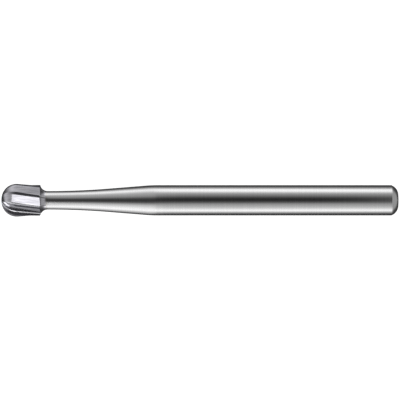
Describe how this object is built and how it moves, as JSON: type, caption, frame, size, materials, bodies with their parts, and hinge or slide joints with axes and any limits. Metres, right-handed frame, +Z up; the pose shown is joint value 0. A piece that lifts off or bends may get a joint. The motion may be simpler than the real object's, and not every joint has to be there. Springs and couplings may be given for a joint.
{
  "type": "carbide burr",
  "caption": "Small rotary cutting burr: a round-ended fluted tungsten carbide head, brazed to a slender steel shank with a plain straight end for a friction-grip chuck.",
  "frame": {"origin": "middle of the shank's flat plain end, on the axis of rotation", "axes": "+X along the axis of rotation, from the cutting tip to the shank's plain end, the way the chuck leaves; +Z up with the burr lying on two of its blades and on its shank"},
  "size_m": [0.0209, 0.0016, 0.0016],
  "materials": {
    "carbide": "fine ground cemented tungsten carbide, slightly violet grey",
    "braze": "silver brazing alloy, ground flush",
    "shank_steel": "polished hardened stainless steel with faint turning lines"
  },
  "bodies": {
    "root": {"carbide_head": "carbide", "braze_joint": "braze", "steel_shank": "shank_steel"}
  },
  "joints": []
}
